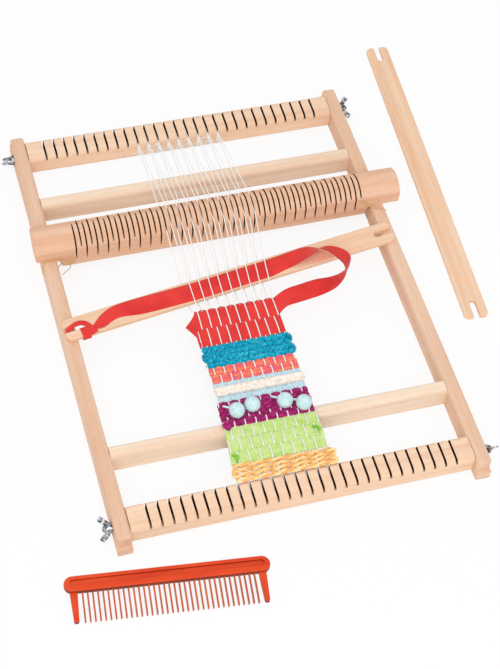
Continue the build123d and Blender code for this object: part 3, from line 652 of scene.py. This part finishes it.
# pompoms lie on the purple yarn, three of them with a loop of yarn up to the braid
pompom = {"radius": 6.6, "fibre": 0.9, "fibres": 900, "thickness": 0.16, "floor": 25.2, "middle": 7, "sink": 1.5,
          "places": [(-37.5, -131.9), (-22.8, -128.9), (5.9, -131.3), (21.4, -137.1)], "looped": (0, 2, 3),
          "loop": [(-9.5, 10, 25.2), (-8.8, 8, 27.2), (-6.2, 5.5, 28.8), (-4, 3.5, 30.5)], "yarn": 1.0}
bm = bmesh.new()
chance = random.Random(11)
hairs, loops = [], []
for number, (x, y) in enumerate(pompom["places"]):
    centre = at(x, y, pompom["floor"] + pompom["middle"] - pompom["sink"])
    ball = bmesh.ops.create_icosphere(bm, subdivisions=4, radius=pompom["radius"] * mm,
                                      matrix=Matrix.Translation(centre))
    for v in ball["verts"]:
        away = (v.co - centre).normalized()
        shift = Vector((x, y, 0))
        v.co += away * (noise.noise(away * 3 + shift) * 0.4 + noise.noise(away * 14 + shift) * 0.12) * mm
    for _ in range(pompom["fibres"]):
        away = Vector((chance.gauss(0, 1), chance.gauss(0, 1), chance.gauss(0, 1))).normalized()
        sway = Vector((chance.uniform(-1, 1), chance.uniform(-1, 1), chance.uniform(-1, 1)))
        lean = (away + sway * 1.1).normalized()
        root = centre + away * (pompom["radius"] - 0.2) * mm
        hairs.append([root, root + lean * pompom["fibre"] * mm])
    if number in pompom["looped"]:
        loops.append([at(x + dx, y + dy, z) for dx, dy, z in pompom["loop"]])
fluff = tubes(hairs, pompom["thickness"] * mm, order=2, sides=0, radii=[[1, 0.4]] * len(hairs))
softPiece("pompomBalls", joined(meshFrom(bm, "balls"), fluff), pompomPlush, "pompoms")
softPiece("pompomLoops", tubes(loops, pompom["yarn"] * mm, resolution=6), pompomPlush, None)
print("pompoms hung")

# the warp: every thread from the back beam through the heddle bar to the front beam
warp = {"radius": 0.5, "float": 0.58, "backMouthY": 195.8, "backMouthZ": 17.5, "turnY": 221.3, "turnZ": 13.5,
        "startY": 220.0, "splitY": 170.0, "highY": 94.37, "highZ": 41.57, "halfY": 86.8, "shortY": (102.6, 70.98),
        "shortZ": 34.2, "heddleFrontY": 70.55, "overZ": (29.8, 28.9), "underZ": 19.4, "halfPass": 13.6,
        "frontY": -195.8, "frontZ": 21.0, "tuck": (10.0, 6.5), "lieOver": 0.75, "lieUnder": -0.9, "lastY": -194.0,
        "higher": {"purple": 1.9, "coral": 1.3}, "buried": {"purple": (1, 2), "rope": (0, 1, 2, 3)},
        "behindSteps": (150, 135, 129, 125, 121, 117, 113, 109, 106), "shedSteps": (68, 65, 62, 59, 56, 53, 50, 46, 40)}
slotRow = {"pitch": 10, "middle": 13.5, "back": 9, "front": 8, "heddleLeft": -48.5, "heddlePitch": 5}


def slotX(number):
    return (number - slotRow["middle"]) * slotRow["pitch"]


def backX(k):  # two threads share a slot, half a millimetre to either side of its middle
    return slotX(slotRow["back"] + k // 2) + (k % 2 - 0.5)


def frontX(k):
    return slotX(slotRow["front"] + (k + 1) // 2) - (k % 2 - 0.5)


def heddleX(k):
    return slotRow["heddleLeft"] + slotRow["heddlePitch"] * k


def backRun(k):
    slope = (warp["backMouthZ"] - warp["turnZ"]) / (warp["turnY"] - warp["backMouthY"])
    start = (backX(k), warp["startY"], warp["backMouthZ"] - (warp["startY"] - warp["backMouthY"]) * slope)
    points = [start]
    if k % 2 == 1 and k < weaving["threads"] - 1:
        nextX = backX(k + 1)
        points = [(nextX, *start[1:]), (nextX, warp["turnY"], warp["turnZ"]),
                  (backX(k), warp["turnY"], warp["turnZ"])]
    points.append((backX(k), warp["backMouthY"], warp["backMouthZ"]))
    return points


def heddleRun(k):
    x = heddleX(k)
    fellX = threadX(k, weaving["fellY"])
    aside = (x + fellX) / 2 - shuttleLie["centre"][0]
    passY = shuttleLie["centre"][1] + aside * tan(radians(shuttleLie["angle"]))
    span = warp["heddleFrontY"] - weaving["fellY"]
    farPass, nearPass = passY + warp["halfPass"], passY - warp["halfPass"]

    def shedX(y):
        return fellX + (x - fellX) * (y - weaving["fellY"]) / span
    if k % 2 == 1:
        fall = (warp["highZ"] - warp["overZ"][0]) / (warp["highY"] - farPass)
        return [(x, warp["highY"], warp["highZ"]),
                (x, warp["heddleFrontY"], warp["highZ"] - (warp["highY"] - warp["heddleFrontY"]) * fall),
                (shedX(farPass), farPass, warp["overZ"][0]), (shedX(nearPass), nearPass, warp["overZ"][1])]
    return [(x, warp["shortY"][0], warp["shortZ"]), (x, warp["shortY"][1], warp["shortZ"]),
            (shedX(farPass), farPass, warp["underZ"]), (shedX(nearPass), nearPass, warp["underZ"])]


def between(first, second, y):
    t = (y - first[1]) / (second[1] - first[1])
    return tuple(a + (b - a) * t for a, b in zip(first, second))


def clothRun(k):
    points = [(threadX(k, weaving["fellY"]), weaving["fellY"], weaving["z"])]
    for name, band in bands.items():
        for n in range(band["rows"]):
            over = onTop(k, band["first"] + n) and n not in warp["buried"].get(name, ())
            lie = warp["higher"].get(name, warp["lieOver"]) if over else warp["lieUnder"]
            for shift in (0.3, -0.3):
                y = rowY(band, n) + shift * band["pitch"]
                if y > warp["lastY"]:
                    points.append((threadX(k, y), y, weaving["z"] + lie))
    return points


def threadPiece(name, parts):
    return addPiece(name, tubes(parts, warp["radius"] * mm, order=2, sides=1), whiteCotton)


backParts, behindParts, shedParts, clothParts, frontParts = [], [], [], [], []
for k in range(weaving["threads"]):
    back, middle, woven = backRun(k), heddleRun(k), clothRun(k)
    split = between(back[-1], middle[0], warp["splitY"])
    half = between(middle[0], middle[1], warp["halfY"])
    backParts.append([at(*p) for p in back + [split]])
    steps = [between(split, middle[0], y) for y in warp["behindSteps"]]
    behindParts.append([at(*p) for p in [split] + steps + [middle[0], half]])
    front = [half, middle[1]] + [between(middle[1], middle[2], y) for y in warp["shedSteps"]]
    shedParts.append([at(*p) for p in front + middle[2:] + woven[:1]])
    last = woven[-1]
    frontPoint = (frontX(k), warp["frontY"], warp["frontZ"])
    tuck = (frontX(k), warp["frontY"] - warp["tuck"][0], warp["frontZ"] - warp["tuck"][1])
    clothParts.append([at(*p) for p in woven])
    frontParts.append([at(*p) for p in (last, frontPoint, tuck)])

atBack = threadPiece("warpAtBackBeam", backParts)
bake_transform(atBack)
behind = threadPiece("warpBehindHeddle", behindParts)
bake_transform(behind)
inShed = threadPiece("warpInShed", shedParts)
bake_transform(inShed)
mesh = tubes(clothParts, warp["float"] * mm, order=3, resolution=3, sides=1)
woven = addPiece("warpInWeaving", mesh, whiteCotton)
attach(woven, "frame")
atFront = threadPiece("warpAtFrontBeam", frontParts)
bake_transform(atFront)
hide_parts("upper_warp", "lower_warp")

# thread wound down the back beam's face below each slot, and short loops across some of its teeth
wound = {"slots": range(9), "faceY": 195.25, "spread": (-1.3, 0.2, 1.6, 3.0), "loops": (1, 4, 6), "radius": 0.5,
         "turn": [(0.15, 3, 18.2), (0.2, 0, 17), (0.8, 0, 7), (1, 0.6, 2.8), (1, 3.5, 0.4)],
         "loop": [(0.4, 1.5, 17.6), (1.4, -0.2, 15.6), (5, -0.3, 14), (8.6, -0.2, 15.6), (9.6, 1.5, 17.6)]}
turns = []
for j in wound["slots"]:
    x, y = slotX(slotRow["back"] + j), wound["faceY"]
    for aside in wound["spread"]:
        turns.append([at(x + part * aside, y + dy, z) for part, dy, z in wound["turn"]])
    if j in wound["loops"]:
        turns.append([at(x + dx, y + dy, z) for dx, dy, z in wound["loop"]])
mesh = tubes(turns, wound["radius"] * mm, resolution=5, sides=1)
softPiece("warpOnBackBeam", mesh, whiteCotton, None, "back_beam")
print("warp strung")

# ribbon: laid along the shuttle, then looped back to the weaving
ribbon = {"thickness": 0.6, "top": 26.95, "ribs": 100, "glance": 0.05, "rippleScale": (1.7, 2),
          "laid": [(-137, -4.0, 5.0, 1.4), (-129, 2.9, 12.2, 0.6), (-121, 7.2, 13.2, 0.1), (-111, 9.9, 14.2, 0),
                   (-91, 10.1, 18.0, 0), (-58, 8.8, 18.8, 0), (-30, 8.0, 19.0, 0), (0, 8.2, 19.0, 0),
                   (35.4, 8.4, 19.0, 0)],
          "loop": [((58.8, 29, 27), (53.4, 10.8, 27.1)), ((72, 31.1, 27.3), (67.6, 13.4, 32.6)),
                   ((80.2, 29.3, 27.6), (75.9, 14, 38.1)), ((87.4, 25.5, 27.8), (82.5, 15.2, 43)),
                   ((94.9, 19.7, 27.5), (91.8, 13.6, 45.2)), ((100.5, 11.2, 27), (102.6, 6.5, 45.3)),
                   ((103.6, 5.3, 26), (106.3, -0.9, 43.8)), ((103.8, 0.4, 25.2), (103.6, -8, 42.2)),
                   ((102.2, -1.4, 24.6), (100.1, -12.5, 39.9)), ((94.9, -4.3, 24.3), (95, -19.1, 36.3)),
                   ((85.4, -5.4, 24.1), (86.7, -23.2, 30.6)), ((72.9, -5.2, 24), (73.6, -24.2, 25)),
                   ((57.8, -7.4, 24), (55, -26.2, 23.6)), ((44, -9.9, 24.1), (40.6, -28.4, 23.8)),
                   ((35.4, -13.8, 24.1), (33.5, -32.7, 24.1)), ((29.2, -17.6, 24), (29.2, -36.6, 24))]}
shuttleTurn = radians(shuttleLie["angle"])


def onShuttle(along, across, z):
    c, s = cos(shuttleTurn), sin(shuttleTurn)
    return at(shuttleLie["centre"][0] + along * c - across * s, shuttleLie["centre"][1] + along * s + across * c, z)


def station(edge, width):  # one edge of the ribbon, and the way across it to the other edge
    return edge, Vector((sin(shuttleTurn), -cos(shuttleTurn), 0)) * (width * mm)


def glide(values, t):  # smooth line through the stations
    t = max(0.0, min(len(values) - 1.0001, t))
    i = int(t)
    f = t - i
    a, b, c, d = (values[max(0, min(len(values) - 1, i + j))] for j in (-1, 0, 1, 2))
    return 0.5 * ((2 * b) + (c - a) * f + (2 * a - 5 * b + 4 * c - d) * f * f + (3 * b - a - 3 * c + d) * f * f * f)


def bandMesh(stations, steps, camber=0.0, ripple=0.0):
    edges, acrosses = [s[0] for s in stations], [s[1] for s in stations]
    bm = stripGrid(steps, 8)
    for v in bm.verts:
        t, w = (v.co.x + 0.5) * (len(stations) - 1), v.co.y + 0.5
        edge, across = glide(edges, t), glide(acrosses, t)
        ahead = glide(edges, t + ribbon["glance"]) - glide(edges, t - ribbon["glance"])
        up = across.cross(ahead).normalized() if ahead.length > 0 else Vector((0, 0, 1))
        wander = noise.noise(Vector((t * ribbon["rippleScale"][0], w * ribbon["rippleScale"][1], 0)))
        v.co = edge + across * w + up * ((camber * sin(pi * w) + ripple * wander) * mm)
    return thickened(bm, "band", ribbon["thickness"])


laidStations = [station(onShuttle(x, y, ribbon["top"] + up), width) for x, y, width, up in ribbon["laid"]]
laidRibbon = softPiece("ribbonOnShuttle", bandMesh(laidStations, 140), makeRibbon("laidRibbon", ribbon["ribs"]),
                       "ribbon_on_shuttle", "shuttle")

loopStations = laidStations[-1:] + [(at(*edge), at(*free) - at(*edge)) for edge, free in ribbon["loop"]]
ribbonLoop = addPiece("ribbonLoop", bandMesh(loopStations, 180), makeRibbon("loopRibbon", ribbon["ribs"]))
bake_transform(ribbonLoop)
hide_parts("ribbon_loop")

# knot: the ribbon's end goes round the near prong, through itself and along the notch
knot = {"wrap": [(-2.4, 22.5), (-2.6, 26.4), (-5, 27.2), (-9.5, 27.3), (-12.6, 26.8), (-12.9, 24), (-12.4, 21.6),
                 (-8, 21.1), (-3.2, 21.1), (-2.4, 22.5)], "from": -150.2, "to": -142.4,
        "arc": [((-139, -2.0, 27.5), (-141, -6.5, 27.5)), ((-143, 2.6, 27.6), (-144.5, -1.8, 27.6)),
                ((-148.5, 5.0, 27.5), (-148.5, 0.6, 27.5)), ((-154.5, 4.2, 27.3), (-153.5, 0.0, 27.3)),
                ((-159.5, 1.9, 27.0), (-158.0, -1.9, 27.0)), ((-163, -0.4, 24.8), (-161, -2.4, 24.4))],
        "body": (-140.6, -8.2, 27.0), "size": (5.6, 5.0, 1.0), "ripple": 0.25, "camber": 0.3, "ribs": 30}
wrap = []
for across, z in knot["wrap"]:
    edge = onShuttle(knot["from"], across, z)
    wrap.append((edge, onShuttle(knot["to"], across, z) - edge))
arc = [(onShuttle(*p), onShuttle(*q) - onShuttle(*p)) for p, q in knot["arc"]]
bead = bmesh.new()
bead.loops.layers.uv.new("UVMap")
bmesh.ops.create_icosphere(bead, subdivisions=4, radius=1, calc_uvs=True)
for v in bead.verts:
    crease = 1 + 0.14 * noise.noise(v.co * 1.8) + 0.1 * sin(7 * v.co.x + 5 * v.co.y)
    v.co = onShuttle(*(c + s * a * crease for c, s, a in zip(knot["body"], knot["size"], v.co)))
mesh = joined(bandMesh(wrap, 60, ripple=knot["ripple"]),
              bandMesh(arc, 50, camber=knot["camber"], ripple=knot["ripple"]), meshFrom(bead, "bead"))
softPiece("ribbonKnot", mesh, makeRibbon("knotRibbon", knot["ribs"]), "ribbon_knot", "shuttle")
print("ribbon tied, laid and looped")

# ties: thin twine from the bar's end slots round the rails
tie = {"radius": 0.42, "y": 69.95,
       "leftSlots": [(-133.6, 86.2, 35), (-133.4, 85, 34), (-133.5, 84, 34)],
       "left": [[(-133.8, 1, 22), (-139, -1.4, 20.5), (-144.3, -3, 20.2), (-149, -1, 21.9), (-152.2, 0, 22.2),
                 (-160, 0, 22.1), (-165.3, 0, 22.1), (-165.6, 0, 12), (-165.5, 0, 1), (-152, 0, 0.9),
                 (-151.4, 0, 9), (-149, -1, 17), (-144, -3, 19)],
                [(-133.6, 0.6, 20.5), (-138, -1.6, 18.2), (-142.5, -3.2, 17.6), (-148, -2.2, 19.8),
                 (-152.2, -0.8, 22.2), (-158, -0.7, 22.1), (-165.4, -0.9, 22)],
                [(-133.5, 0.4, 19), (-137, -1.5, 15.5), (-140.5, -3, 14.8), (-144, -3, 17.5), (-147, -2.5, 20)]],
       "leftEnd": [(-142, -3, 18), (-138.8, -2, 12.5), (-142, -3.5, 9.5), (-148.5, -5.5, 6)],
       "rightSlots": [(141.5, 86.8, 34.6), (141.5, 85, 34.2)],
       "right": [[(141.5, 1, 34), (145, -0.3, 29.5), (149.1, -0.3, 25.3), (152.2, -1, 22.5), (156, -2.6, 22.2),
                  (164.4, -7, 22.1), (165.6, -7, 19), (165.5, -4, 3), (164, 0, 0.9), (153, 0, 0.9), (151.4, 0, 6),
                  (151.2, 0, 17)],
                 [(141.6, 0.8, 33), (144, -0.8, 28.6), (148.4, -1, 24.2), (152.2, -2.2, 22.5), (158, -4.6, 22.1)]]}
y = tie["y"]


def tieRoute(points):  # their y counts from the tie's own y
    return [at(px, y + py, pz) for px, py, pz in points]


def tiePiece(name, routes):
    return addPiece(name, tubes(routes, tie["radius"] * mm, resolution=8, sides=1), tieTwine)


leftStrands = [[at(*slot)] + tieRoute(points) for slot, points in zip(tie["leftSlots"], tie["left"])]
rightStrands = [[at(*slot)] + tieRoute(points) for slot, points in zip(tie["rightSlots"], tie["right"])]
leftTwine = tiePiece("leftTie", leftStrands + [tieRoute(tie["leftEnd"])])
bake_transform(leftTwine)
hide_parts("left_tie")
rightTwine = tiePiece("rightTie", rightStrands)
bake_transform(rightTwine)
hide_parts("right_tie")
print("ties knotted")

# stage: white floor, soft light and the camera
stage = {"floorSize": 8.0, "floorZ": -0.0004, "floorGrey": (0.94, 0.94, 0.94, 1), "floorGlow": 0.86, "world": 0.82,
         "lampEnergy": 13.0, "lampSize": 1.4, "lampPlace": (-0.4, -1.2, 1.6)}
white = (1, 1, 1, 1)


# the camera and mirrors see the second shader by this share, and all other rays the first
def mixSeen(tree, first, second, share, output):
    rays = addNode(tree, "LightPath")
    seen = mathNode(tree, "MAXIMUM", rays.outputs["Is Camera Ray"], rays.outputs["Is Glossy Ray"])
    factor = mathNode(tree, "MULTIPLY", seen, share)
    mixed = tree.nodes.new("ShaderNodeMixShader")
    for socket, source in zip(mixed.inputs, (factor, first.outputs[0], second.outputs[0])):
        tree.links.new(source, socket)
    tree.links.new(mixed.outputs[0], tree.nodes.new("ShaderNodeOutput" + output).inputs["Surface"])


bm = bmesh.new()
bmesh.ops.create_grid(bm, x_segments=1, y_segments=1, size=stage["floorSize"] / 2)
floor = bpy.data.objects.new("floor", meshFrom(bm, "floor"))
scene.collection.objects.link(floor)
floor.location.z = stage["floorZ"]
material = bpy.data.materials.new("whiteFloor")
material.use_nodes = True
tree = material.node_tree
tree.nodes.clear()
matte = addNode(tree, "BsdfDiffuse", Color=stage["floorGrey"])
mixSeen(tree, matte, addNode(tree, "Emission", Color=white, Strength=1.0), stage["floorGlow"], "Material")
floor.data.materials.append(material)

world = bpy.data.worlds.new("studio")
world.use_nodes = True
scene.world = world
tree = world.node_tree
tree.nodes.clear()
dim = addNode(tree, "Background", Color=white, Strength=stage["world"])
mixSeen(tree, dim, addNode(tree, "Background", Color=white, Strength=1.0), 1.0, "World")

lamp = bpy.data.lights.new("softbox", "AREA")
lamp.energy = stage["lampEnergy"]
lamp.size = stage["lampSize"]
softbox = bpy.data.objects.new("softbox", lamp)
scene.collection.objects.link(softbox)
softbox.location = stage["lampPlace"]
softbox.rotation_euler = (-Vector(stage["lampPlace"])).to_track_quat("-Z", "Y").to_euler()

view = {"place": (-0.32789, -0.88267, 1.22980), "lens": 90.37, "sensor": 36, "right": (0.95946, -0.27279, 0.07089),
        "down": (-0.18008, -0.7868, -0.59036), "forward": (0.21682, 0.55366, -0.80402)}
camera = bpy.data.objects.new("camera", bpy.data.cameras.new("camera"))
scene.collection.objects.link(camera)
camera.data.lens = view["lens"]
camera.data.sensor_width = view["sensor"]
camera.data.sensor_fit = "AUTO"
right, down, forward = Vector(view["right"]), Vector(view["down"]), Vector(view["forward"])
camera.matrix_world = Matrix.Translation(view["place"]) @ Matrix((right, -down, -forward)).transposed().to_4x4()
scene.camera = camera
scene.view_settings.view_transform = "Standard"
print("stage set")
